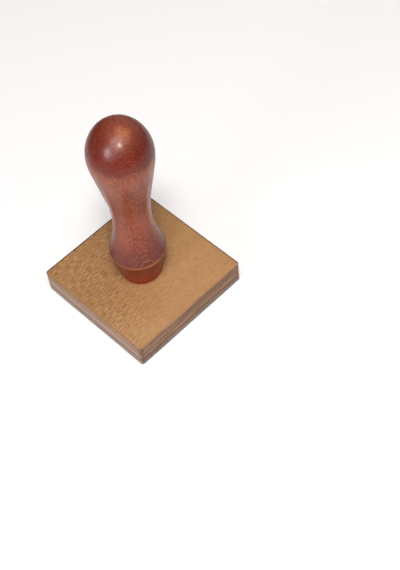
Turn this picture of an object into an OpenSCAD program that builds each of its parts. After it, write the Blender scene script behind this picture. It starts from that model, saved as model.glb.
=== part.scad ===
// Hand stamp: a turned wooden handle screwed to a square plywood block, with an engraved rubber
// die glued under it. It stands on the printing face of the die, which is the plane z = 0.
// X runs along the grain of the top veneer. Sizes are in millimetres.

/* [Block] */
// Side of the square block
block_w = 70; // [64:1:100]
// Thickness of the two outer veneers, sanded
outer_veneer_t = 1.5; // [0.8:0.1:2]
// Thickness of each of the five inner veneers
inner_veneer_t = 1.8; // [1.4:0.1:2.4]
// Rounding of the four upright edges
block_corner_r = 1.2; // [0.4:0.1:3]
// Width of the broken edge round the top veneer
top_arris = 0.4; // [0.1:0.1:0.7]

/* [Handle] */
// Height of the handle above the block
handle_h = 106; // [88:1:130]
// Diameter of the foot where it stands on the block
foot_d = 20.6; // [16:0.2:24]
// Widest diameter of the flare above the rim
flare_d = 28.5; // [25:0.5:34]
// Height of that widest place
flare_z = 18.4; // [15:0.2:24]
// Drop from the widest place to the rim's lower edge
rim_drop = 1.6; // [0.6:0.2:2.4]
// Step from the rim in to the top of the foot
rim_step = 0.8; // [0.4:0.1:1.6]
// Rounding of the flare
flare_round = 4.5; // [4:0.5:7]
// Diameter of the waist
waist_d = 19.2; // [16:0.2:22]
// Height of the waist
waist_z = 44.6; // [40:0.2:50]
// Hollow of the neck between flare and waist
lower_neck_round = 66; // [30:1:120]
// Hollow of the neck above the waist
upper_neck_round = 74; // [30:1:120]
// Swelling of the shoulder under the knob
shoulder_round = 34; // [25:1:120]
// Diameter of the knob
knob_d = 31.5; // [29:0.5:38]
// Rounding of the knob's sides above its widest place
knob_side_round = 21.5; // [20:0.5:30]
// Rounding of the knob's crown
crown_round = 14; // [11:0.5:14]

/* [Screw] */
// Length of the wood screw
screw_l = 35; // [28:1:42]
// Diameter of the plain shank
shank_d = 4; // [3.5:0.1:5]
// Diameter of the countersunk head
head_d = 7.8; // [7:0.1:9]
// Height of the head's upright edge
head_edge = 0.3; // [0.2:0.05:0.5]
// Length of threaded screw inside the block, above the plain shank
thread_in_block = 0.8; // [0.2:0.1:3]
// Diameter of the screw's core between its threads
core_d = 2.7; // [2.2:0.1:3.2]
// Length of the point
point_l = 4; // [2:0.5:5]
// Diameter of the point's blunt tip
point_tip_d = 0.4; // [0.2:0.1:0.8]
// Depth of the head below the underside of the block
head_sink = 0.2; // [0.1:0.05:0.5]
// Radial clearance of the shank in the block
shank_clearance = 0.15; // [0.05:0.05:0.4]
// Radial clearance of the core in its pilot hole
pilot_clearance = 0.05; // [0.02:0.01:0.1]
// Clearance of the head in its countersink
head_clearance = 0.05; // [0.02:0.01:0.2]
// Depth of the pilot hole beyond the point
pilot_run_out = 2; // [1:0.5:5]

/* [Die] */
// Thickness of the engraved rubber
die_t = 2.3; // [1.8:0.1:4]
// Height of the printing lines above the engraved ground
relief_h = 0.9; // [0.5:0.1:1.2]
// Thickness of the adhesive film
film_t = 0.1; // [0.05:0.05:0.3]
// Plain margin between the edge of the rubber and the outer frame
margin = 2; // [1:0.5:4]
// Line of the outer frame
outer_line = 1.2; // [0.8:0.1:2]
// Line of the inner frame, the fans, the rings and the star
fine_line = 0.8; // [0.5:0.1:1]
// Side of the small squares between the two frames
dentil_w = 1.8; // [1.2:0.1:2.2]
// Ground between the small squares and each frame
dentil_gap = 0.8; // [0.5:0.1:1.2]
// Distance from one small square to the next, about
dentil_pitch = 3.6; // [3:0.1:5]
// Number of arcs in each corner fan
fan_arcs = 4; // [1:1:4]
// Distance between the arcs of a fan
fan_pitch = 3; // [2:0.1:3.2]
// Radius of the half ring in the middle of each side
lunette_r = 3.6; // [3:0.1:4.5]
// Ground between the medallion and the half rings
medallion_gap = 1.2; // [0.6:0.1:2]
// Ground between the medallion's two rings
ring_gap = 2.4; // [2:0.1:3]
// Diameter of the beads
bead_d = 1.2; // [0.8:0.1:1.4]
// Number of beads between the medallion's rings
bead_count = 32; // [12:4:32]
// Ground between the star's points and the inner ring
star_gap = 0.8; // [0.5:0.1:1.2]
// Radius of the centre boss
boss_r = 2.6; // [2:0.2:3]
// Ground between the centre beads and what lies on either side
bead_gap = 0.7; // [0.5:0.1:0.8]
// Number of rays round the centre
ray_count = 16; // [8:4:16]
// Width of each ray at its foot
ray_w = 1.6; // [1:0.1:2]
// Ground at either end of a ray
ray_gap = 0.5; // [0.4:0.1:0.8]

/* [Hidden] */
$fn = 96;

stained_beech = "#8a3f2c";
dry_beech = "#b98a60";
cross_beech = "#9c7453";
die_grey = "#8b8683";
film_white = "#ddd9cf";
zinc = "#c9ccd0";

// Heights, from the printing face up
film_z = die_t;
block_z = film_z + film_t;
inner_veneers = 5;
block_t = 2 * outer_veneer_t + inner_veneers * inner_veneer_t;
top_z = block_z + block_t;
inner_z = block_z + outer_veneer_t;
head_z = block_z + head_sink;
countersink_h = (head_d - shank_d) / 2;
screw_top = head_z + screw_l;
shank_l = block_t - head_sink - thread_in_block;

// A cut runs this far past the surface that it opens
past = 1;

// Worked-out heights where two pieces meet are rounded, so that both have the same number
function rounded(v) = round(v * 1000) / 1000;

// Two arcs, one hollow and one swelling, make each half of the neck. A straight cone joins them,
// so a pair that leaves no room for it is made smaller.
cone_share = 0.98;
function largest_pair(step, rise) = cone_share * (step * step + rise * rise) / (2 * step);
function fitted_arcs(hollow, swell, step, rise) =
    let (fit = min(1, largest_pair(step, rise) / (hollow + swell)))
    [rounded(hollow * fit), rounded(swell * fit)];
function cone_angle(hollow, swell, step, rise) =
    let (across = hollow + swell - step)
    atan2(rise, across) - acos((hollow + swell) / norm([across, rise]));

// One half of the neck, with the waist on y = 0 and the wide place at y = rise. The swelling runs
// on past the wide place.
module neck_half(narrow_r, wide_r, arcs, rise, run_on) {
    hollow = arcs[0];
    swell = arcs[1];
    slope = cone_angle(hollow, swell, wide_r - narrow_r, rise);
    cone_start = [narrow_r + hollow * (1 - cos(slope)), rounded(hollow * sin(slope))];
    cone_end = [wide_r - swell * (1 - cos(slope)), rounded(rise - swell * sin(slope))];
    difference() {
        square([narrow_r + hollow, cone_start.y]);
        translate([narrow_r + hollow, 0]) circle(hollow, $fn = 360);
    }
    polygon([[0, cone_start.y], cone_start, cone_end, [0, cone_end.y]]);
    translate([0, cone_end.y]) swelling(wide_r, swell, rise - cone_end.y, run_on);
}

// A swelling of one arc, filled to the axis: below and above its widest place
module swelling(wide_r, round_r, below, above) {
    centre_r = wide_r - round_r;
    inner_r = max(0, centre_r);
    if (centre_r > 0) square([centre_r, below + above]);
    intersection() {
        translate([inner_r, 0]) square([wide_r - inner_r + past, below + above]);
        translate([centre_r, below]) circle(round_r, $fn = 360);
    }
}

// The knob above its widest place: an arc up each side and one over the crown, which meet on a slant
module knob_dome(knob_r, crown_z) {
    slant = atan2(crown_z, knob_side_round - knob_r);
    meet_z = rounded(knob_side_round * sin(slant));
    swelling(knob_r, knob_side_round, 0, meet_z);
    translate([0, meet_z]) swelling(crown_round, crown_round, crown_z - meet_z, crown_round + past);
}

module handle_profile() {
    waist_r = waist_d / 2;
    flare_r = flare_d / 2;
    knob_r = knob_d / 2;
    crown_z = rounded(sqrt((knob_side_round - crown_round) ^ 2 - (knob_side_round - knob_r) ^ 2));
    knob_z = handle_h - crown_round - crown_z;
    rim_z = flare_z - rim_drop;
    lower_rise = waist_z - flare_z;
    upper_rise = knob_z - waist_z;
    lower_arcs = fitted_arcs(lower_neck_round, flare_round, flare_r - waist_r, lower_rise);
    upper_arcs = fitted_arcs(upper_neck_round, shoulder_round, knob_r - waist_r, upper_rise);
    flare_arc = lower_arcs[1];
    rim_r = flare_r - flare_arc + sqrt(flare_arc ^ 2 - rim_drop ^ 2);
    polygon([[0, 0], [foot_d / 2, 0], [rim_r - rim_step, rim_z], [0, rim_z]]);
    translate([0, waist_z]) {
        mirror([0, 1]) neck_half(waist_r, flare_r, lower_arcs, lower_rise, rim_drop);
        neck_half(waist_r, knob_r, upper_arcs, upper_rise, 0);
    }
    translate([0, knob_z]) knob_dome(knob_r, crown_z);
}

module handle() {
    color(stained_beech) difference() {
        translate([0, 0, top_z]) rotate_extrude() handle_profile();
        pilot_hole();
    }
}

module pilot_hole() {
    hole_r = core_d / 2 + pilot_clearance;
    translate([0, 0, top_z - past]) cylinder(h = screw_top + pilot_run_out - top_z + past, r = hole_r);
}

module wood_screw() {
    shank_top = head_z + shank_l;
    core_top = screw_top - point_l;
    color(zinc) {
        translate([0, 0, head_z]) cylinder(h = head_edge, d = head_d);
        translate([0, 0, head_z + head_edge]) cylinder(h = countersink_h, d1 = head_d, d2 = shank_d);
        translate([0, 0, head_z + head_edge + countersink_h])
            cylinder(h = shank_l - head_edge - countersink_h, d = shank_d);
        translate([0, 0, shank_top]) cylinder(h = core_top - shank_top, d = core_d);
        translate([0, 0, core_top]) cylinder(h = point_l, d1 = core_d, d2 = point_tip_d);
    }
}

// The way of the screw through the block
module screw_hole() {
    grow = head_clearance;
    rim_top = head_z + head_edge + grow;
    hole_r = shank_d / 2 + shank_clearance;
    head_r = head_d / 2 + grow;
    translate([0, 0, block_z - past]) cylinder(h = block_t + 2 * past, r = hole_r);
    translate([0, 0, block_z - past]) cylinder(h = rim_top - block_z + past, r = head_r);
    translate([0, 0, rim_top]) cylinder(h = head_r - hole_r, r1 = head_r, r2 = hole_r);
}

module block_plan(w) {
    round_r = block_corner_r;
    centre = w / 2 - round_r;
    square([w, 2 * centre], center = true);
    square([2 * centre, w], center = true);
    for (x = [-centre, centre], y = [-centre, centre])
        translate([x, y]) circle(round_r);
}

// A veneer of the block, with the screw's hole through it
module veneer(z, t, shade) {
    color(shade) difference() {
        translate([0, 0, z]) linear_extrude(t) block_plan(block_w);
        screw_hole();
    }
}

module inner_veneer(from_top, shade) {
    veneer(inner_z + (inner_veneers - from_top) * inner_veneer_t, inner_veneer_t, shade);
}

// The four broken edges of the top veneer
module arris_cuts() {
    for (turn = [0, 90, 180, 270])
        rotate([0, 0, turn]) translate([block_w / 2, 0, top_z]) rotate([90, 0, 0])
            linear_extrude(block_w + 2 * past, center = true)
                polygon([[-top_arris, 0], [past, -top_arris - past], [past, past], [-top_arris, past]]);
}

module face_veneer() {
    color(dry_beech) difference() {
        veneer(top_z - outer_veneer_t, outer_veneer_t, dry_beech);
        arris_cuts();
    }
}

module upper_crossband() { inner_veneer(1, cross_beech); }
module upper_long_veneer() { inner_veneer(2, dry_beech); }
module middle_crossband() { inner_veneer(3, cross_beech); }
module lower_long_veneer() { inner_veneer(4, dry_beech); }
module lower_crossband() { inner_veneer(5, cross_beech); }
module back_veneer() { veneer(block_z, outer_veneer_t, dry_beech); }

module adhesive_film() {
    color(film_white) translate([0, 0, film_z]) linear_extrude(film_t) block_plan(block_w);
}

// Lines of the printing face
module square_line(w, line) {
    difference() {
        square(w, center = true);
        square(w - 2 * line, center = true);
    }
}

module ring_line(r, line) {
    difference() {
        circle(r + line / 2);
        circle(r - line / 2);
    }
}

module bead_ring(r, count, d) {
    for (i = [0 : count - 1])
        rotate(i * 360 / count) translate([r, 0]) circle(d / 2);
}

// Small squares along the four sides, with one in each corner
module dentils(reach) {
    steps = round(2 * reach / dentil_pitch);
    for (turn = [0, 90, 180, 270], i = [0 : steps - 1])
        rotate(turn) translate([i * 2 * reach / steps - reach, reach]) square(dentil_w, center = true);
}

// Arcs round a solid disc; the frame's inner edge cuts them to a quarter or a half
module fan(arcs, pitch) {
    circle(pitch / 2);
    for (i = [1 : arcs]) ring_line(i * pitch + fine_line / 2, fine_line);
}

module corner_fans(reach) {
    for (x = [-reach, reach], y = [-reach, reach])
        translate([x, y]) fan(fan_arcs, fan_pitch);
}

module side_lunettes(reach) {
    for (turn = [0, 90, 180, 270])
        rotate(turn) translate([reach, 0]) {
            circle(lunette_r / 2);
            ring_line(lunette_r, fine_line);
        }
}

// A star of two interlaced squares, with a bead in each of its eight points
module star(tip_r) {
    side_r = tip_r * cos(45);
    for (turn = [0, 45])
        rotate(turn) square_line(2 * side_r, fine_line);
    bead_ring(side_r + bead_d, 8, bead_d);
}

// Pointed rays that stand outward round the centre
module rays(foot_r, tip_r) {
    for (i = [0 : ray_count - 1])
        rotate(i * 360 / ray_count) polygon([[foot_r, -ray_w / 2], [tip_r, 0], [foot_r, ray_w / 2]]);
}

module medallion(r) {
    inner_ring_r = r - ring_gap - fine_line;
    star_tip_r = inner_ring_r - fine_line / 2 - star_gap;
    star_inner_r = star_tip_r * cos(45) - fine_line;
    bead_track_r = boss_r + bead_gap + bead_d / 2;
    centre_ring_r = bead_track_r + bead_d / 2 + bead_gap + fine_line / 2;
    ring_line(r, fine_line);
    bead_ring(r - (ring_gap + fine_line) / 2, bead_count, bead_d);
    ring_line(inner_ring_r, fine_line);
    star(star_tip_r);
    rays(centre_ring_r + fine_line / 2 + ray_gap, star_inner_r - ray_gap);
    ring_line(centre_ring_r, fine_line);
    bead_ring(bead_track_r, ray_count / 2, bead_d);
    circle(boss_r);
}

module printing_lines() {
    frame_w = block_w - 2 * margin;
    band_w = dentil_w + 2 * dentil_gap;
    inner_frame_w = frame_w - 2 * (outer_line + band_w);
    field = inner_frame_w - fine_line;
    square_line(frame_w, outer_line);
    dentils((frame_w - band_w) / 2 - outer_line);
    square_line(inner_frame_w, fine_line);
    intersection() {
        square(field, center = true);
        union() {
            corner_fans(field / 2);
            side_lunettes(field / 2);
        }
    }
    medallion(field / 2 - lunette_r - fine_line - medallion_gap);
}

module rubber_die() {
    color(die_grey) {
        linear_extrude(relief_h) printing_lines();
        translate([0, 0, relief_h]) linear_extrude(die_t - relief_h) block_plan(block_w);
    }
}

handle();
wood_screw();
face_veneer();
upper_crossband();
upper_long_veneer();
middle_crossband();
lower_long_veneer();
lower_crossband();
back_veneer();
adhesive_film();
rubber_die();
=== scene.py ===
from math import acos, asin, atan2, cos, hypot, pi, radians, sin, sqrt

import bmesh
import bpy
from mathutils import Matrix, Vector


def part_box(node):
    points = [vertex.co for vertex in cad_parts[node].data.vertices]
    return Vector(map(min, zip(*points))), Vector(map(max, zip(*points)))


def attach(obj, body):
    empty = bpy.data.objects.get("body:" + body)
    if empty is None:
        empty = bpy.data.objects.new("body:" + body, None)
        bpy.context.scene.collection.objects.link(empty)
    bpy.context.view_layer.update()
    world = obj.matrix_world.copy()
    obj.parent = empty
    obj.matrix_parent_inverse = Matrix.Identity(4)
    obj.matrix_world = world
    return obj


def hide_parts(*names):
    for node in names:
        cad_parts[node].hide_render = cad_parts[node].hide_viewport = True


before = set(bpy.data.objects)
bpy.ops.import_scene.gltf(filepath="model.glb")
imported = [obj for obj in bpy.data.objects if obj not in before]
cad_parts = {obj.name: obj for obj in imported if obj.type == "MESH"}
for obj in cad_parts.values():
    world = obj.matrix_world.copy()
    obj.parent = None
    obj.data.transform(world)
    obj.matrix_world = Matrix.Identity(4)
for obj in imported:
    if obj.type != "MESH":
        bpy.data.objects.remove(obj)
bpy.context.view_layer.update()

MM = 0.001

# Camera, from the square block's four sides
CAMERA_PLACE = Vector((-0.1969, -0.2800, 0.4808))
CAMERA_TURN = radians(-39.85)
CAMERA_DROP = radians(55.06)
CAMERA_ROLL = radians(6.96)
CAMERA_LENS = 71.8
CAMERA_SENSOR = 36.0

# Handle sizes in millimetres, heights above the top of the block
FOOT_R = 10.3
FLARE_R = 14.25
FLARE_Z = 18.4
FLARE_ROUND = 4.5
RIM_DROP = 1.6
RIM_STEP = 0.8
WAIST_R = 9.6
WAIST_Z = 44.6
LOWER_NECK_ROUND = 66.0
UPPER_NECK_ROUND = 74.0
SHOULDER_ROUND = 34.0
KNOB_R = 15.75
KNOB_SIDE_ROUND = 21.5
CROWN_ROUND = 14.0
PILOT_R = 1.4
PILOT_DEPTH = 25.2
EASED_EDGE = 0.25

# How many flat sides stand for the round of the turned handle
HANDLE_SIDES = 144


class Reading:
    """An output of a node. Arithmetic on it adds Math nodes to the same tree."""

    def __init__(self, tree, socket):
        self.tree = tree
        self.socket = socket

    def out(self, name):
        """Another output of the same node."""
        return Reading(self.tree, self.socket.node.outputs[name])

    def math(self, operation, *others):
        return self.tree.add("ShaderNodeMath", {"operation": operation}, dict(enumerate((self, *others))))

    def reflected(self, operation, first):
        """The same operation with this reading as its second value."""
        return self.tree.add("ShaderNodeMath", {"operation": operation}, {0: first, 1: self})

    def __add__(self, other):
        return self.math("ADD", other)

    __radd__ = __add__

    def __sub__(self, other):
        return self.math("SUBTRACT", other)

    def __rsub__(self, other):
        return self.reflected("SUBTRACT", other)

    def __mul__(self, other):
        return self.math("MULTIPLY", other)

    __rmul__ = __mul__

    def __truediv__(self, other):
        return self.math("DIVIDE", other)

    def __rtruediv__(self, other):
        return self.reflected("DIVIDE", other)

    def __pow__(self, other):
        return self.math("POWER", other)

    def __rpow__(self, other):
        return self.reflected("POWER", other)

    def __neg__(self):
        return self.math("MULTIPLY", -1.0)

    def ramp(self, low, high):
        """0 below low and 1 above high, with a smooth rise. Low may be the larger, which turns it round."""
        turned = low > high
        ends = {"From Min": min(low, high), "From Max": max(low, high)}
        ends.update({"To Min": 1.0, "To Max": 0.0} if turned else {"To Min": 0.0, "To Max": 1.0})
        settings = {"interpolation_type": "SMOOTHSTEP"}
        return self.tree.add("ShaderNodeMapRange", settings, {"Value": self, **ends})

    def band(self, low, low_inside, high_inside, high):
        """1 between the two inside values and 0 beyond low and high, with smooth slopes."""
        return self.ramp(low, low_inside) * self.ramp(high, high_inside)


class Tree:
    """A node tree, with one method that makes any node."""

    def __init__(self, tree):
        self.tree = tree

    def add(self, kind, settings=None, sockets=None, output=0):
        """Makes a node, applies its settings, then fills its sockets, and returns one of its outputs."""
        node = self.tree.nodes.new(kind)
        for name, value in (settings or {}).items():
            setattr(node, name, value)
        for key, value in (sockets or {}).items():
            self.fill(self.find(node.inputs, key), value)
        if not node.outputs:
            return node
        return Reading(self, self.find(node.outputs, output))

    @staticmethod
    def find(sockets, key):
        shown = [s for s in sockets if s.enabled]
        if isinstance(key, int):
            return shown[key]
        return next(s for s in shown if s.name == key)

    def fill(self, socket, value):
        if isinstance(value, Reading):
            self.tree.links.new(value.socket, socket)
        elif isinstance(value, (tuple, list)) and len(value) == 3 and socket.type == "RGBA":
            socket.default_value = (*value, 1.0)
        else:
            socket.default_value = value

    def vector(self, operation, *values, scale=None):
        sockets = dict(enumerate(values))
        if scale is not None:
            sockets["Scale"] = scale
        return self.add("ShaderNodeVectorMath", {"operation": operation}, sockets)

    def blend(self, share, first, second, kind="MIX"):
        settings = {"data_type": "RGBA", "blend_type": kind}
        return self.add("ShaderNodeMix", settings, {"Factor": share, "A": first, "B": second})

    def layered(self, colour, *layers):
        """Lays each layer's colour over what is under it, by the layer's share."""
        for share, above in layers:
            colour = self.blend(share, colour, above)
        return colour

    def noise(self, at, size, stretch=(1, 1, 1), detail=2.0, rough=0.5, shift=0.0):
        """Noise whose patches are about size millimetres across, longer along each axis by its stretch."""
        squeezed = self.vector("MULTIPLY", at, tuple(1 / (size * s) for s in stretch))
        moved = self.vector("ADD", squeezed, (shift, shift * 0.7, shift * 1.3))
        sockets = {"Vector": moved, "Scale": 1.0, "Detail": detail, "Roughness": rough}
        return self.add("ShaderNodeTexNoise", {"noise_dimensions": "3D"}, sockets)

    def bump(self, height, depth_mm):
        sockets = {"Strength": 1.0, "Distance": depth_mm * MM, "Height": height}
        return self.add("ShaderNodeBump", None, sockets)


def new_material(name):
    material = bpy.data.materials.new(name)
    material.use_nodes = True
    material.node_tree.nodes.clear()
    return material, Tree(material.node_tree)


def finish_surface(tree, **sockets):
    """Ends a material. A socket's name is written in small letters with underscores."""
    names = {key.replace("_", " ").title().replace("Ior", "IOR"): value for key, value in sockets.items()}
    surface = tree.add("ShaderNodeBsdfPrincipled", None, names)
    tree.add("ShaderNodeOutputMaterial", None, {"Surface": surface})


def place_in_mm(tree):
    place = tree.add("ShaderNodeTexCoord", None, None, "Object")
    return tree.vector("SCALE", place, scale=1 / MM)


def facing_way(tree):
    """The X, Y and Z of the way that the surface faces."""
    return apart(tree, tree.add("ShaderNodeTexCoord", None, None, "Normal"))


def apart(tree, vector):
    """The X, Y and Z of a vector."""
    split = tree.add("ShaderNodeSeparateXYZ", None, {0: vector})
    return split, split.out("Y"), split.out("Z")


# Stained and lacquered beech of the handle. Some of these colours also serve as painted shade, light and
# reflection.
# The deep stain is also the painted shade on the right of the knob and flare
DEEP_STAIN_AND_SHADE = (0.115, 0.012, 0.007)
STAIN_BODY = (0.195, 0.030, 0.014)
STAIN_WARM = (0.385, 0.065, 0.020)
# Thin stain, also painted as light on the left of the neck
THIN_STAIN_AND_LIGHT = (0.420, 0.150, 0.082)
STAIN_FOOT = (0.320, 0.038, 0.009)
# Painted shade on the top of the foot, under the rim
PAINTED_FOOT_SHADE = (0.170, 0.031, 0.010)
STAIN_RED = (0.215, 0.014, 0.004)
# Orange of the block's top, painted on the handle as its reflection
PAINTED_ORANGE_REFLECTION = (0.450, 0.085, 0.022)
# The pale rim: partly wear, partly a painted highlight
RIM_WEAR_AND_HIGHLIGHT = (0.510, 0.175, 0.082)
STAIN_SPOT = (0.390, 0.135, 0.050)
PORE = (0.050, 0.008, 0.005)

# Growth rings, in millimetres. The pith of the tree lay beside the handle, so the rings show as arcs round a
# bull's-eye under the knob. They are narrow and wide by turns. The fine lines between them are a wave, which
# turns by this many radians in a millimetre. Rings are counted from a number that keeps them all above 0.
PITH_BEARING = radians(-114)
PITH_REACH = 46.0
PITH_LEAN = 0.08
BULLS_EYE = (-6.6, -14.1, 84.5)
BULLS_EYE_STRETCH = (1.0, 1.0, 0.6)
RINGS_PER_MM = 1.00
RING_SWING = 0.76
RING_SWING_LENGTH = 12.0
FINE_LINE_TURN = 11.0
FIRST_RING = 100.0

# About the way that lies to the right in the photograph
RIGHT_BEARING = radians(-35)

# Heights above the block, in millimetres, between which the stain of the handle changes, and between which
# painted shade and reflection on it begin and end
FOOT_EDGE = (16.9, 15.9)
# The foot is painted darker towards its top between these heights: painted shade under the rim.
FOOT_SHADE = (4.0, 13.0)
FLARE_EDGE = (40.0, 28.0)
LOW_FLARE = (32.0, 19.0)
LINED_FLARE = (19.0, 22.0, 32.0, 36.0)
NECK_EDGE = (22.0, 40.0)
PLAIN_NECK = (28.0, 40.0, 66.0, 78.0)
# An orange reflection of the block's top is painted on the waist between these heights, and under the knob
# between those of UNDER_KNOB.
WAIST_REFLECTION = (36.0, 44.0, 50.0, 60.0)
UPPER_NECK = (54.0, 68.0)
THIN_NECK = (60.0, 76.0)
UNDER_KNOB = (74.0, 83.0, 85.0, 90.0)
KNOB_EDGE = (86.5, 91.0)
KNOB_LINES = (86.0, 92.0)
RED_KNOB = (102.0, 93.0)
CROWN_EDGE = (97.0, 105.0)

# The place of the pale spot on the crown, and how much a distance from it counts along each axis
CROWN_SPOT = (-0.2, -4.9, 104.8)
CROWN_SPOT_STRETCH = (1.5, 0.9, 1.0)


class HandleWood:
    """The grain of the handle and its zones. A zone is 1 where it lies and 0 elsewhere.

    Lengths are in millimetres: the height above the block, and how far a point is from the handle's axis to
    its right, to the pith and aside of the pith. The crest is the strip in line with the pith."""

    def __init__(self, tree, base_z):
        self.tree = tree
        self.base_z = base_z
        self.place = place_in_mm(tree)
        x, y, z = apart(tree, self.place)
        self.height = z - base_z
        self.to_right = x * cos(RIGHT_BEARING) + y * sin(RIGHT_BEARING)
        self.to_pith = x * cos(PITH_BEARING) + y * sin(PITH_BEARING)
        self.aside = y * cos(PITH_BEARING) - x * sin(PITH_BEARING)

        self.wander = tree.noise(self.place, 7.0, (1, 1, 2), detail=3.0) - 0.5
        self.warm = tree.noise(self.place, 9.0, (1, 1, 1.8), detail=3.0, shift=15.0).ramp(0.35, 0.68)
        self.streak = tree.noise(self.place, 0.8, (1, 1, 4), detail=3.0, rough=0.6, shift=2.0)
        self.dapple = tree.noise(self.place, 0.55, (1.3, 1.3, 1.2), detail=3.0, rough=0.75, shift=12.0)
        self.pores = tree.noise(self.place, 0.30, (1, 1, 4), detail=1.0, shift=6.0).ramp(0.62, 0.74)

        self.foot = self.height.ramp(*FOOT_EDGE)
        self.flare = self.height.ramp(*FLARE_EDGE)
        self.knob = (self.height + self.to_right * 0.10 + self.wander * 5.0).ramp(*KNOB_EDGE)
        self.neck = self.height.ramp(*NECK_EDGE) * (1 - self.knob)
        from_crest = self.aside.math("ABSOLUTE") + self.height.ramp(*KNOB_LINES) * 3.0
        self.crest = from_crest.ramp(10.0, 2.0) * 0.88 + 0.12

    def distance_from(self, point, stretch):
        """Millimetres from a point of the handle, stretched along each axis."""
        x, y, z = point
        beside = self.tree.vector("SUBTRACT", self.place, (x, y, self.base_z + z))
        stretched = self.tree.vector("MULTIPLY", beside, stretch)
        return self.tree.vector("LENGTH", stretched).out("Value")

    def ring_lines(self):
        """Where the pale lines of the growth rings lie, and the fine lines between them."""
        tree, place, height, wander = self.tree, self.place, self.height, self.wander
        from_eye = self.distance_from(BULLS_EYE, BULLS_EYE_STRETCH)
        above_eye = height - BULLS_EYE[2]
        reach = above_eye * PITH_LEAN + PITH_REACH - self.to_pith
        ring = (reach * reach + self.aside * self.aside) ** 0.5 - (PITH_REACH - KNOB_R) + wander * 1.4
        ring = ring - from_eye.ramp(7.5, 0.0) * 1.7
        ring = ring + (tree.noise(place, 1.9, (1, 1, 1.3), shift=31.0) - 0.5) * 1.1
        swing = ((ring + 1.0) * (2 * pi / RING_SWING_LENGTH)).math("COSINE") * RING_SWING
        count = ring * RINGS_PER_MM - swing + FIRST_RING
        settings = {"noise_dimensions": "1D"}
        strength = tree.add("ShaderNodeTexWhiteNoise", settings, {"W": count.math("FLOOR")}, "Value")

        broken = tree.noise(place, 1.5, (1, 1, 1.4), shift=4.0).ramp(0.38, 0.62)
        patchy = tree.noise(place, 7.0, (1, 1, 1.5), detail=1.0, shift=21.0).ramp(0.38, 0.58) * 0.65 + 0.35
        plain = height.band(*PLAIN_NECK) * 0.6 + self.foot * 0.9
        shown = broken * patchy * self.crest * (strength * 0.5 + 0.5) * (1 - plain)
        near_eye = (from_eye - above_eye * 0.18 + wander * 5.0).ramp(6.0, 3.5)
        clear = near_eye.math("MAXIMUM", height.band(*LINED_FLARE) * self.crest)
        clear = clear * (broken * 0.6 + 0.4) * (strength * 0.6 + 0.4)
        shown = shown.math("MAXIMUM", clear * 0.95)
        pale_line = count.math("FRACT").band(0.60, 0.82, 0.90, 1.00) * shown
        wave = (ring * FINE_LINE_TURN + wander * 4.0).math("SINE")
        return pale_line, wave.ramp(0.0, 1.0) * broken * (1 - self.foot)

    def stain_and_painted_light(self):
        """The stain: deep on the knob, warm on the neck and thin on the rings. Painted into it are shade on
        the right of the knob and flare and under the rim, light on the left of the neck, and an orange
        reflection on the waist and under the knob.
        """
        tree, height, to_right, dapple = self.tree, self.height, self.to_right, self.dapple
        foot, flare, neck, knob = self.foot, self.flare, self.neck, self.knob
        slow = tree.noise(self.place, 13.0, (1, 1, 1.6), detail=3.0, shift=9.0).ramp(0.3, 0.7)
        # Painted shade: the foot darkens towards its top, under the overhang of the rim.
        shade_under_rim = (height.ramp(*FOOT_SHADE) + (self.warm - 0.5) * 0.8).ramp(0.0, 1.0)
        upper_neck = height.ramp(*UPPER_NECK) * (1 - knob)
        lively = (1 - knob * 0.75) * (1 - foot * 0.7) * (1 - flare * 0.45) * (1 - upper_neck * 0.40)
        red_knob = height.ramp(*RED_KNOB) * knob * to_right.ramp(12.0, 3.0)
        # Painted reflection: an orange glow of the block's top under the knob, and on the waist along the
        # crest.
        painted_reflection = height.band(*UNDER_KNOB).math("MAXIMUM", height.band(*WAIST_REFLECTION) * self.crest)
        # Painted shade: the knob and the flare are darkened on their right, the side away from the lamps.
        painted_shade_right = knob * to_right.ramp(6.0, 14.0) * 0.40 + flare * to_right.ramp(-5.0, 8.0) * 0.40
        pale_line, fine_line = self.ring_lines()
        return tree.layered(
            DEEP_STAIN_AND_SHADE,
            ((slow * 0.6 + 0.4) * (1 - knob * 0.75), STAIN_BODY),
            ((self.warm * 0.6 + 0.4) * (neck * 0.6 + 0.1), STAIN_WARM),
            (foot * 0.85, STAIN_FOOT),
            # Painted shade on the top of the foot under the rim
            (foot * shade_under_rim * 0.8, PAINTED_FOOT_SHADE),
            (self.streak.ramp(0.45, 0.75) * (lively * 0.2 + neck * 0.1), THIN_STAIN_AND_LIGHT),
            (height.ramp(*LOW_FLARE) * (1 - foot) * 0.70, DEEP_STAIN_AND_SHADE),
            (dapple.ramp(0.50, 0.70) * lively * 0.38, THIN_STAIN_AND_LIGHT),
            (dapple.ramp(0.48, 0.30) * lively * 0.75, DEEP_STAIN_AND_SHADE),
            (red_knob * 0.45, STAIN_RED),
            # Painted orange reflection of the block's top
            (painted_reflection * 0.24, PAINTED_ORANGE_REFLECTION),
            # Painted shade on the right of the knob and flare
            (painted_shade_right * (1 - foot), DEEP_STAIN_AND_SHADE),
            (fine_line * (1 - knob * 0.6) * 0.22, THIN_STAIN_AND_LIGHT),
            (pale_line * 0.85, THIN_STAIN_AND_LIGHT),
            (height.ramp(*THIN_NECK) * (1 - knob) * 0.10, THIN_STAIN_AND_LIGHT),
            # Painted light: the neck is paler on its left, the side the lamps light.
            (neck * to_right.ramp(2.0, -9.0) * 0.14, THIN_STAIN_AND_LIGHT))

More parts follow.
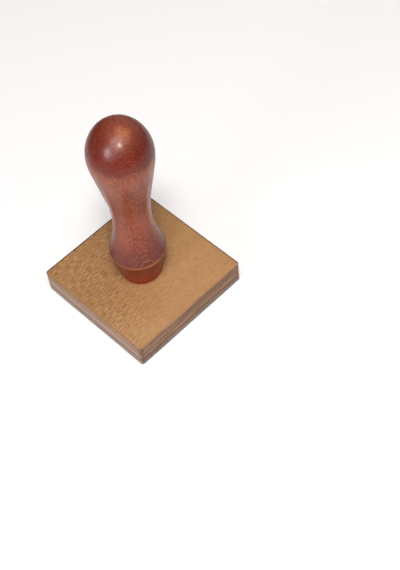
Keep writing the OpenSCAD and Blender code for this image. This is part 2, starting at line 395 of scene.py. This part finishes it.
    def crown_spot_and_rim(self, stain):
        """The stain with its paler crown, its spot there and the pale rim over the foot, which is partly
        wear and partly a painted highlight on the rim's eased edge.
        """
        from_spot = self.distance_from(CROWN_SPOT, CROWN_SPOT_STRETCH)
        spot = (from_spot + self.wander * 9.0).ramp(6.0, 0.3)
        crown = (self.height + self.wander * 4.0).ramp(*CROWN_EDGE)
        rim_z = FLARE_Z - RIM_DROP
        below_rim_top = (self.height + self.wander).ramp(rim_z + 2.8, rim_z + 1.0)
        # The pale rim over the foot: partly wear, partly a painted highlight on its edge.
        rim = self.height.ramp(rim_z - 0.15, rim_z) * below_rim_top
        return self.tree.layered(
            stain,
            (crown * self.to_right.ramp(-9.0, 0.0) * 0.20, THIN_STAIN_AND_LIGHT),
            (spot * (self.streak.ramp(0.3, 0.7) * 0.6 + 0.3), STAIN_SPOT),
            # Pale rim, partly wear and partly painted highlight
            (rim * (self.dapple * 0.7 + self.warm * 0.35 + 0.32), RIM_WEAR_AND_HIGHLIGHT))

    def mottled(self, stain):
        """The stain with its small light and dark flecks and the pores of the wood."""
        flecks = (self.dapple - 0.5) * (1.7 - self.flare * 0.6 - self.neck * 0.6)
        brightness = flecks + (self.streak - 0.5) * self.neck + 1.0
        return self.tree.blend(self.pores * 0.5, self.tree.vector("SCALE", stain, scale=brightness), PORE)


def stained_beech(base_z):
    """Red-brown stain under lacquer that lies uneven over the grain, with painted shade, light, highlight
    and reflection in its colour.
    """
    material, tree = new_material("stained_beech")
    wood = HandleWood(tree, base_z)
    polish = tree.noise(wood.place, 6.0, shift=1.0)
    relief = tree.noise(wood.place, 2.4, (1, 1, 2), shift=3.0) + wood.pores * -0.4 + wood.dapple * 0.5
    finish_surface(
        tree, base_color=wood.mottled(wood.crown_spot_and_rim(wood.stain_and_painted_light())), roughness=0.42 + polish * 0.16,
        normal=tree.bump(relief, 0.03), specular_ior_level=0.12,
        coat_weight=(wood.dapple - 0.5) * 1.3 + 0.5, coat_roughness=0.22, coat_ior=1.5)
    return material


# Beech plywood
VENEER_LONG_AND_SHADE = (0.350, 0.178, 0.072)
VENEER_WARM = (0.450, 0.248, 0.106)
VENEER_PALE_AND_LIGHT = (0.560, 0.345, 0.170)
VENEER_DARK = (0.190, 0.080, 0.024)
EDGE_LIGHT = (0.540, 0.364, 0.270)
EDGE_DARK = (0.165, 0.097, 0.064)
EDGE_BROWN = (1.00, 0.82, 0.60)
GLUE_LINE = (0.110, 0.065, 0.045)
# Dark brown of the scorch and bruises, also painted as shade along the back edges
DARK_MARK_AND_SHADE = (0.060, 0.040, 0.025)

# Widths in millimetres: of the glue lines, of the dark back edges, partly scorch and partly painted shade
# along the far arrises, of the bruise down the front corner and of the stain that ran out from under the
# foot. Each begins at its first width and is full at its second.
GLUE_W = (0.16, 0.04)
SCORCH_AND_SHADE_W = (1.2, 0.7)
BRUISE_W = (2.6, 1.2)
STAIN_RUN_W = (0.9, 0.1)

# How pale and how brown each veneer's cut edge is on the sides square to X, and then on those square to Y.
# Part is the ply's own tone, and part is painted light and shade: mostly darker and browner on the sides
# square to Y, paler and greyer on those square to X.
EDGE_TONE_AND_PAINTED_SHADE = {
    "face_veneer": (0.36, 0.75, 0.42, 1.00),
    "upper_crossband": (0.55, 0.70, 0.16, 0.95),
    "upper_long_veneer": (0.53, 0.35, 0.30, 0.85),
    "middle_crossband": (0.66, 0.15, 0.19, 0.85),
    "lower_long_veneer": (1.00, 0.10, 0.38, 0.80),
    "lower_crossband": (0.06, 0.10, 0.00, 0.75),
    "back_veneer": (0.70, 0.05, 0.10, 0.55),
}


def sanded_face(tree, x, y, cloud, fine, pores):
    """A veneer's face: coarser and browner towards the left corner, and paler towards the front one. The
    browner left and paler front are partly the veneer's own tone and partly painted shade and light.
    """
    coarse_and_shaded_side = (y - x * 0.9 + (cloud - 0.5) * 40.0).ramp(-30.0, 26.0)
    coarse = coarse_and_shaded_side * 0.72 + 0.30
    return tree.layered(
        VENEER_LONG_AND_SHADE,
        (cloud.ramp(0.3, 0.7) * 0.5 + 0.4, VENEER_WARM),
        # Browner left corner and paler front corner: partly the veneer's tone, partly painted shade and
        # light
        (coarse_and_shaded_side * 0.85, VENEER_LONG_AND_SHADE),
        ((x + y).ramp(-28.0, -62.0) * 0.3, VENEER_PALE_AND_LIGHT),
        (fine.ramp(0.48, 0.75) * 0.25, VENEER_DARK),
        (pores.ramp(0.50, 0.62) * coarse * 0.74, VENEER_DARK),
        (pores.ramp(0.47, 0.36) * coarse * 0.50, VENEER_PALE_AND_LIGHT))


def cut_edge(tree, node, nx, z, side, grain):
    """A veneer's cut edge, with glue above and below. How pale and how brown it is comes partly from its ply
    and partly from painted light and shade that differ between the sides.
    """
    low, high = (corner.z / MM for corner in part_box(node))
    pale_x, brown_x, pale_y, brown_y = EDGE_TONE_AND_PAINTED_SHADE[node]
    square_to_x = nx.math("ABSOLUTE").ramp(0.6, 0.8)
    pale = square_to_x * (pale_x - pale_y) + pale_y
    brown = square_to_x * (brown_x - brown_y) + brown_y
    edge = tree.blend(pale + (grain - 0.5) * 2.9, EDGE_DARK, EDGE_LIGHT)
    edge = tree.blend(brown, edge, EDGE_BROWN, "MULTIPLY")
    wide, narrow = GLUE_W
    glue = (z.ramp(low + wide, low + narrow) + z.ramp(high - wide, high - narrow)) * side
    return tree.blend(glue * 0.35, edge, GLUE_LINE)


def beech_veneer(node, along_x, seed):
    """One veneer: long grain on the faces that run with it, and end grain on the others."""
    material, tree = new_material("beech_" + node)
    half_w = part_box(node)[1].x / MM
    place = place_in_mm(tree)
    x, y, z = apart(tree, place)
    nx, ny, nz = facing_way(tree)
    side = nz.math("ABSOLUTE").ramp(0.9, 0.6)
    end = (nx if along_x else ny).math("ABSOLUTE").ramp(0.6, 0.8)

    def along(length):
        return (length, 1, 1) if along_x else (1, length, 1)

    cloud = tree.noise(place, 12.0, along(3), detail=3.0, shift=seed)
    fine = tree.noise(place, 0.5, along(30), detail=3.0, rough=0.6, shift=seed + 3)
    pores = tree.noise(place, 0.38, along(9), detail=1.0, shift=seed + 7)
    grain_dots = tree.noise(place, 0.65, detail=3.0, rough=0.75, shift=seed + 5)
    edge = cut_edge(tree, node, nx, z, side, tree.blend(end, fine, grain_dots))
    # The back edges of the top: partly scorch, partly painted shade along the far arrises.
    scorch_and_shade = x.math("MAXIMUM", y).ramp(*(half_w - w for w in SCORCH_AND_SHADE_W)) * nz.ramp(0.2, 0.5)
    bruised = (x + y).ramp(*(w - 2 * half_w for w in BRUISE_W)) * grain_dots.ramp(0.45, 0.6)
    layers = [(side, edge), (scorch_and_shade * (y.ramp(20.0, 34.0) * 0.35 + 0.6), DARK_MARK_AND_SHADE)]
    if node == "face_veneer":
        from_axis = (x * x + y * y) ** 0.5
        layers.append((from_axis.ramp(*(FOOT_R + w for w in STAIN_RUN_W)) * 0.6, STAIN_FOOT))
    layers.append((bruised * side * 0.8, DARK_MARK_AND_SHADE))

    relief = fine * 0.7 + pores.ramp(0.5, 0.7) * -0.8 + grain_dots * end * 0.8
    finish_surface(
        tree, base_color=tree.layered(sanded_face(tree, x, y, cloud, fine, pores), *layers),
        roughness=0.50 + fine * 0.2, normal=tree.bump(relief, 0.02), specular_ior_level=0.25)
    return material


# Rubber of the die, with its relief and the pitch of its engraved lines in millimetres
RUBBER_DARK = (0.140, 0.122, 0.115)
RUBBER_PALE = (0.185, 0.164, 0.155)
RUBBER_GROUND = (0.130, 0.122, 0.118)
RUBBER_GRIT = (0.38, 0.365, 0.355)
DIE_RELIEF = 0.9
SCAN_PITCH = 0.18


def engraved_rubber():
    """Matt grey rubber: smooth on the printing lines, rough and darker on the ground cut away round them."""
    material, tree = new_material("engraved_rubber")
    place = place_in_mm(tree)
    _, y, z = apart(tree, place)
    _, _, nz = facing_way(tree)
    mottle = tree.noise(place, 2.4, detail=3.0)
    grit = tree.noise(place, 0.22, shift=5.0)
    ground = z.ramp(DIE_RELIEF - 0.25, DIE_RELIEF - 0.05) * nz.ramp(-0.2, -0.6)
    scan = (y * (2 * pi / SCAN_PITCH)).math("SINE") * 0.5 + 0.5
    grey = tree.layered(
        RUBBER_DARK,
        (mottle.ramp(0.3, 0.7), RUBBER_PALE),
        (ground * (0.45 + scan * 0.2), RUBBER_GROUND),
        (grit.ramp(0.5, 0.8) * 0.25, RUBBER_GRIT))
    finish_surface(
        tree, base_color=grey, roughness=0.62 + mottle * 0.16,
        normal=tree.bump(grit * 0.6 + scan * ground * 0.7, 0.02), specular_ior_level=0.4)
    return material


# Adhesive film and zinc
FILM = (0.70, 0.66, 0.58)
FILM_DULL = (0.560, 0.528, 0.464)
ZINC_WARM = (0.60, 0.58, 0.52)
ZINC_BRIGHT = (0.74, 0.74, 0.72)


def film():
    """The cut edge of the adhesive film."""
    material, tree = new_material("adhesive_film")
    haze = tree.noise(place_in_mm(tree), 1.5, detail=3.0)
    colour = tree.blend(haze.ramp(0.3, 0.7), FILM, FILM_DULL)
    finish_surface(tree, base_color=colour, roughness=0.45 + haze * 0.2, normal=tree.bump(haze, 0.01))
    return material


def zinc_plate():
    """Bright zinc with a yellow cast and fine turning marks."""
    material, tree = new_material("zinc_plate")
    place = place_in_mm(tree)
    bloom = tree.noise(place, 0.8, detail=4.0, rough=0.6)
    marks = tree.noise(place, 0.09, (20, 20, 1), detail=1.0, shift=3.0)
    colour = tree.blend(bloom.ramp(0.35, 0.7), ZINC_WARM, ZINC_BRIGHT)
    finish_surface(
        tree, base_color=colour, metallic=1.0, roughness=0.22 + bloom * 0.2, normal=tree.bump(marks, 0.004))
    return material


def open_tree(name, sizes):
    """An empty geometry tree with named size inputs. Returns the tree, its helper and its inputs."""
    group = bpy.data.node_groups.new(name, "GeometryNodeTree")
    group.interface.new_socket("Geometry", in_out="OUTPUT", socket_type="NodeSocketGeometry")
    for label, value in sizes.items():
        socket = group.interface.new_socket(label, in_out="INPUT", socket_type="NodeSocketFloat")
        socket.default_value = value
    tree = Tree(group)
    entry = group.nodes.new("NodeGroupInput")
    inputs = {label: Reading(tree, entry.outputs[label]) for label in sizes}
    return group, tree, inputs


def close_tree(tree, geometry, material):
    """Ends a geometry tree in Realize Instances and Set Material."""
    plain = tree.add("GeometryNodeRealizeInstances", None, {0: geometry})
    dressed = tree.add("GeometryNodeSetMaterial", None, {"Geometry": plain, "Material": material})
    exit_node = tree.tree.nodes.new("NodeGroupOutput")
    tree.tree.links.new(dressed.socket, exit_node.inputs["Geometry"])


def made_by_tree(name, group, sizes):
    """The plain mesh object that a geometry tree makes with these sizes."""
    carrier = bpy.data.objects.new(name + "_carrier", bpy.data.meshes.new(name + "_carrier"))
    bpy.context.scene.collection.objects.link(carrier)
    modifier = carrier.modifiers.new("turn", "NODES")
    modifier.node_group = group
    for item in group.interface.items_tree:
        if item.in_out == "INPUT":
            modifier[item.identifier] = float(sizes[item.name])
    evaluated = carrier.evaluated_get(bpy.context.evaluated_depsgraph_get())
    mesh = bpy.data.meshes.new_from_object(evaluated)
    piece = bpy.data.objects.new(name, mesh)
    bpy.context.scene.collection.objects.link(piece)
    bpy.data.objects.remove(carrier)
    return piece


class Outline:
    """A turned outline, drawn as runs that follow each other: straight lines and arcs.

    Every run adds its own part of the radius and height as the share of the outline passes through it."""

    def __init__(self, radius, height):
        self.radius = radius
        self.height = height
        self.runs = []

    def line(self, out, up, steps):
        self.runs.append(("line", out, up, steps))

    def arc(self, round_r, start, end, steps):
        """An arc about a centre to its left where round_r is positive; angles are of its outward normal."""
        self.runs.append(("arc", round_r, start, end, steps))

    def rings(self):
        return sum(run[-1] for run in self.runs)

    def follow(self, share):
        """The radius and height at a share of the outline, as readings."""
        radius, height, passed = self.radius, self.height, 0
        for run in self.runs:
            steps = run[-1]
            within = (share * self.rings() - passed) / steps
            within = within.math("MAXIMUM", 0.0).math("MINIMUM", 1.0)
            if run[0] == "line":
                radius = radius + within * run[1]
                height = height + within * run[2]
            else:
                round_r, start, end = run[1:4]
                angle = within * (end - start) + start
                radius = radius + (cosine(angle) - cosine(start)) * round_r
                height = height + (sine(angle) - sine(start)) * round_r
            passed += steps
        return radius, height


def cosine(angle):
    """The cosine of a plain number or of a reading."""
    return angle.math("COSINE") if isinstance(angle, Reading) else cos(angle)


def sine(angle):
    """The sine of a plain number or of a reading."""
    return angle.math("SINE") if isinstance(angle, Reading) else sin(angle)


def turn_on_axis(tree, outline, base, around):
    """The mesh that an outline sweeps round the Z axis, from its pole below to its pole above."""
    tube = tree.add("GeometryNodeMeshCylinder", {"fill_type": "NONE"}, {
        "Vertices": around, "Side Segments": outline.rings(), "Radius": 1.0, "Depth": 1.0}, "Mesh")
    x, y, z = apart(tree, tree.add("GeometryNodeInputPosition"))
    radius, height = outline.follow(z + 0.5)
    place = tree.add("ShaderNodeCombineXYZ", None, {
        "X": x * radius * MM, "Y": y * radius * MM, "Z": (height + base) * MM})
    turned = tree.add("GeometryNodeSetPosition", None, {"Geometry": tube, "Position": place})
    closed = tree.add("GeometryNodeMergeByDistance", None, {"Geometry": turned, "Distance": 1e-7})
    return tree.add("GeometryNodeSetShadeSmooth", None, {"Geometry": closed})


def arc_radii(hollow, swell, step, rise):
    """The two radii of a neck half, made smaller where they leave no room for a straight cone between."""
    largest = 0.98 * (step * step + rise * rise) / (2 * step)
    share = min(1.0, largest / (hollow + swell))
    return hollow * share, swell * share


def cone_slope(hollow, swell, step, rise):
    """The angle above level at which the cone between two arcs of a neck half faces."""
    across = hollow + swell - step
    return atan2(rise, across) - acos((hollow + swell) / hypot(across, rise))


def cone_length(hollow, swell, step, rise):
    """How long that cone is, measured along its slant."""
    slope = cone_slope(hollow, swell, step, rise)
    return (rise - (hollow + swell) * sin(slope)) / cos(slope)


def handle_sizes(base_z, height):
    """The sizes and angles of the handle's outline. Both cones of its neck are tangent to their arcs."""
    crown_z = sqrt((KNOB_SIDE_ROUND - CROWN_ROUND) ** 2 - (KNOB_SIDE_ROUND - KNOB_R) ** 2)
    knob_z = height - CROWN_ROUND - crown_z
    lower = (FLARE_R - WAIST_R, WAIST_Z - FLARE_Z)
    upper = (KNOB_R - WAIST_R, knob_z - WAIST_Z)
    lower_hollow, flare_round = arc_radii(LOWER_NECK_ROUND, FLARE_ROUND, *lower)
    upper_hollow, shoulder = arc_radii(UPPER_NECK_ROUND, SHOULDER_ROUND, *upper)
    rim_angle = -asin((RIM_DROP - EASED_EDGE) / (flare_round - EASED_EDGE))
    rim_r = FLARE_R - flare_round + (flare_round - EASED_EDGE) * cos(rim_angle)
    foot_top_r = FLARE_R - flare_round + sqrt(flare_round ** 2 - RIM_DROP ** 2) - RIM_STEP
    return {
        "Base Height": base_z,
        "Pilot Radius": PILOT_R,
        "Pilot Depth": PILOT_DEPTH,
        "Foot Radius": FOOT_R,
        "Foot Top Radius": foot_top_r,
        "Rim Radius": rim_r,
        "Rim Height": FLARE_Z - RIM_DROP,
        "Rim Angle": rim_angle,
        "Flare Round": flare_round,
        "Lower Slope": cone_slope(lower_hollow, flare_round, *lower),
        "Lower Cone": cone_length(lower_hollow, flare_round, *lower),
        "Lower Hollow": lower_hollow,
        "Upper Slope": cone_slope(upper_hollow, shoulder, *upper),
        "Upper Cone": cone_length(upper_hollow, shoulder, *upper),
        "Upper Hollow": upper_hollow,
        "Shoulder Round": shoulder,
        "Knob Side Round": KNOB_SIDE_ROUND,
        "Knob Slant": atan2(crown_z, KNOB_SIDE_ROUND - KNOB_R),
        "Crown Round": CROWN_ROUND,
    }


def make_handle(material):
    """The turned handle, from the end of its pilot hole round its foot and rim to the top of its knob."""
    low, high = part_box("handle")
    sizes = handle_sizes(low.z / MM, (high.z - low.z) / MM)
    group, tree, size = open_tree("turned_handle", sizes)
    outline = Outline(0.0, size["Pilot Depth"])
    eased = EASED_EDGE
    lower = size["Lower Slope"]
    upper = -size["Upper Slope"]
    outline.line(size["Pilot Radius"], 0.0, 1)
    outline.line(0.0, -size["Pilot Depth"], 2)
    outline.line(size["Foot Radius"] - size["Pilot Radius"] - eased, 0.0, 3)
    outline.line(eased, eased, 2)
    outline.line(size["Foot Top Radius"] - size["Foot Radius"], size["Rim Height"] - eased, 14)
    outline.line(size["Rim Radius"] - size["Foot Top Radius"], 0.0, 2)
    outline.arc(eased, -pi / 2, size["Rim Angle"], 5)
    outline.arc(size["Flare Round"], size["Rim Angle"], lower, 12)
    outline.line(-sine(lower) * size["Lower Cone"], cosine(lower) * size["Lower Cone"], 3)
    outline.arc(-size["Lower Hollow"], lower, 0.0, 18)
    outline.arc(-size["Upper Hollow"], 0.0, upper, 14)
    outline.line(-sine(upper) * size["Upper Cone"], cosine(upper) * size["Upper Cone"], 8)
    outline.arc(size["Shoulder Round"], upper, 0.0, 10)
    outline.arc(size["Knob Side Round"], 0.0, size["Knob Slant"], 16)
    outline.arc(size["Crown Round"], size["Knob Slant"], pi / 2, 20)
    close_tree(tree, turn_on_axis(tree, outline, size["Base Height"], HANDLE_SIDES), material)
    return made_by_tree("turned_handle", group, sizes)


def look_along(place, turn, drop, roll):
    """A camera's matrix from its turn about Z, its drop below the horizon and its roll."""
    forward = Vector((-sin(turn) * cos(drop), cos(turn) * cos(drop), -sin(drop)))
    right = Vector((cos(turn), sin(turn), 0.0))
    down = forward.cross(right)
    rolled_right = right * cos(roll) + down * sin(roll)
    rolled_up = right * sin(roll) - down * cos(roll)
    axes = Matrix((rolled_right, rolled_up, -forward)).transposed()
    return Matrix.Translation(place) @ axes.to_4x4()


def make_camera():
    lens = bpy.data.cameras.new("camera")
    lens.lens = CAMERA_LENS
    lens.sensor_width = CAMERA_SENSOR
    camera = bpy.data.objects.new("camera", lens)
    camera.matrix_world = look_along(CAMERA_PLACE, CAMERA_TURN, CAMERA_DROP, CAMERA_ROLL)
    bpy.context.scene.collection.objects.link(camera)
    bpy.context.scene.camera = camera


# Studio: soft lights by their bearing and height angle about a point near the knob, in degrees. A lamp only
# lights matt surfaces, a glint only shines in glossy ones, and a light does both.
LIGHT_CENTRE = Vector((0, 0, 0.10))
LIGHTS = {
    "top_lamp": {"bearing": -126, "height": 71, "distance": 1.2, "size": 0.50, "watts": 10.4,
                 "tint": (1.0, 0.95, 0.90)},
    "key_lamp": {"bearing": -126, "height": 62, "distance": 1.5, "size": 0.30, "watts": 8.6,
                 "tint": (1.0, 0.95, 0.90)},
    "broad_glint": {"bearing": -134, "height": 56, "distance": 1.1, "size": 1.05, "watts": 10.5,
                    "tint": (1.0, 0.95, 0.90)},
    "key_glint": {"bearing": -120, "height": 50, "distance": 1.5, "size": 0.27, "watts": 11.5,
                  "tint": (1.0, 0.96, 0.92)},
    "left_light": {"bearing": -173, "height": 22, "distance": 1.4, "size": 0.60, "watts": 3.0,
                   "tint": (0.90, 0.93, 1.0)},
    "left_glint": {"bearing": -173, "height": 22, "distance": 1.4, "size": 0.42, "watts": 8.4,
                   "tint": (0.92, 0.94, 1.0)},
    "halo_glint": {"bearing": -165, "height": 26, "distance": 1.4, "size": 1.20, "watts": 5.8,
                   "tint": (0.92, 0.94, 1.0)},
    "right_light": {"bearing": -40, "height": 60, "distance": 1.2, "size": 0.9, "watts": 1.0,
                    "tint": (0.92, 0.95, 1.0)},
}
SKY_DARK = (0.03, 0.03, 0.035)
SKY_LOW = (0.15, 0.15, 0.17)
SKY_SIDE = (0.40, 0.40, 0.42)
SKY_HIGH = (0.42, 0.43, 0.46)
DARK_BEARING = radians(105)
SIDE_BEARING = radians(15)

# The floor, in metres from the middle of the stamp
FLOOR_REACH = 3.0
FLOOR_FADE = (0.27, 0.40)
FLOOR_WHITE = (0.92, 0.92, 0.925)
FLOOR_GREY = (0.18, 0.18, 0.185)


def make_lights():
    for name, facts in LIGHTS.items():
        lamp = bpy.data.lights.new(name, "AREA")
        lamp.shape = "DISK"
        lamp.size = facts["size"]
        lamp.energy = facts["watts"]
        lamp.color = facts["tint"]
        bearing, height = radians(facts["bearing"]), radians(facts["height"])
        way = Vector((cos(bearing) * cos(height), sin(bearing) * cos(height), sin(height)))
        light = bpy.data.objects.new(name, lamp)
        light.location = LIGHT_CENTRE + way * facts["distance"]
        light.rotation_euler = way.to_track_quat("Z", "Y").to_euler()
        light.visible_camera = False
        light.visible_diffuse = not name.endswith("glint")
        light.visible_glossy = not name.endswith("lamp")
        bpy.context.scene.collection.objects.link(light)


def make_sky():
    """A dim studio: paler overhead and behind the stamp on its right, and darkest behind it on its left."""
    world = bpy.data.worlds.new("studio")
    bpy.context.scene.world = world
    world.use_nodes = True
    world.node_tree.nodes.clear()
    tree = Tree(world.node_tree)
    x, y, z = apart(tree, tree.add("ShaderNodeTexCoord", None, None, "Generated"))
    behind = x * cos(DARK_BEARING) + y * sin(DARK_BEARING)
    beside = x * cos(SIDE_BEARING) + y * sin(SIDE_BEARING)
    colour = tree.layered(
        SKY_LOW,
        (behind.ramp(-0.3, 0.6), SKY_DARK),
        (beside.ramp(0.70, 0.95), SKY_SIDE),
        (z.ramp(0.55, 1.05) * (1 - behind.ramp(0.0, 0.6) * 0.7), SKY_HIGH))
    glow = tree.add("ShaderNodeBackground", None, {"Color": colour})
    tree.add("ShaderNodeOutputWorld", None, {"Surface": glow})


def pale_floor():
    """White where the stamp stands, and greyer away from it, as under a pool of studio light."""
    material, tree = new_material("pale_floor")
    place = tree.add("ShaderNodeTexCoord", None, None, "Object")
    away = tree.vector("LENGTH", place).out("Value")
    colour = tree.blend(away.ramp(*FLOOR_FADE), FLOOR_WHITE, FLOOR_GREY)
    finish_surface(tree, base_color=colour, roughness=0.6, specular_ior_level=0.2)
    return material


def make_floor():
    mesh = bpy.data.meshes.new("floor")
    shape = bmesh.new()
    bmesh.ops.create_grid(shape, x_segments=1, y_segments=1, size=FLOOR_REACH)
    shape.to_mesh(mesh)
    shape.free()
    mesh.materials.append(pale_floor())
    floor = bpy.data.objects.new("floor", mesh)
    bpy.context.scene.collection.objects.link(floor)


def dress(node, material):
    """Gives a node of the frame its material."""
    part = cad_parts[node]
    part.data.materials.clear()
    part.data.materials.append(material)


make_camera()
make_lights()
make_sky()
make_floor()
bpy.context.scene.view_settings.view_transform = "Standard"

handle_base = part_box("handle")[0].z / MM
handle = make_handle(stained_beech(handle_base))
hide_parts("handle")
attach(handle, "root")

for index, node in enumerate(EDGE_TONE_AND_PAINTED_SHADE):
    dress(node, beech_veneer(node, index % 2 == 0, 11.0 * index))
dress("rubber_die", engraved_rubber())
dress("adhesive_film", film())
dress("wood_screw", zinc_plate())
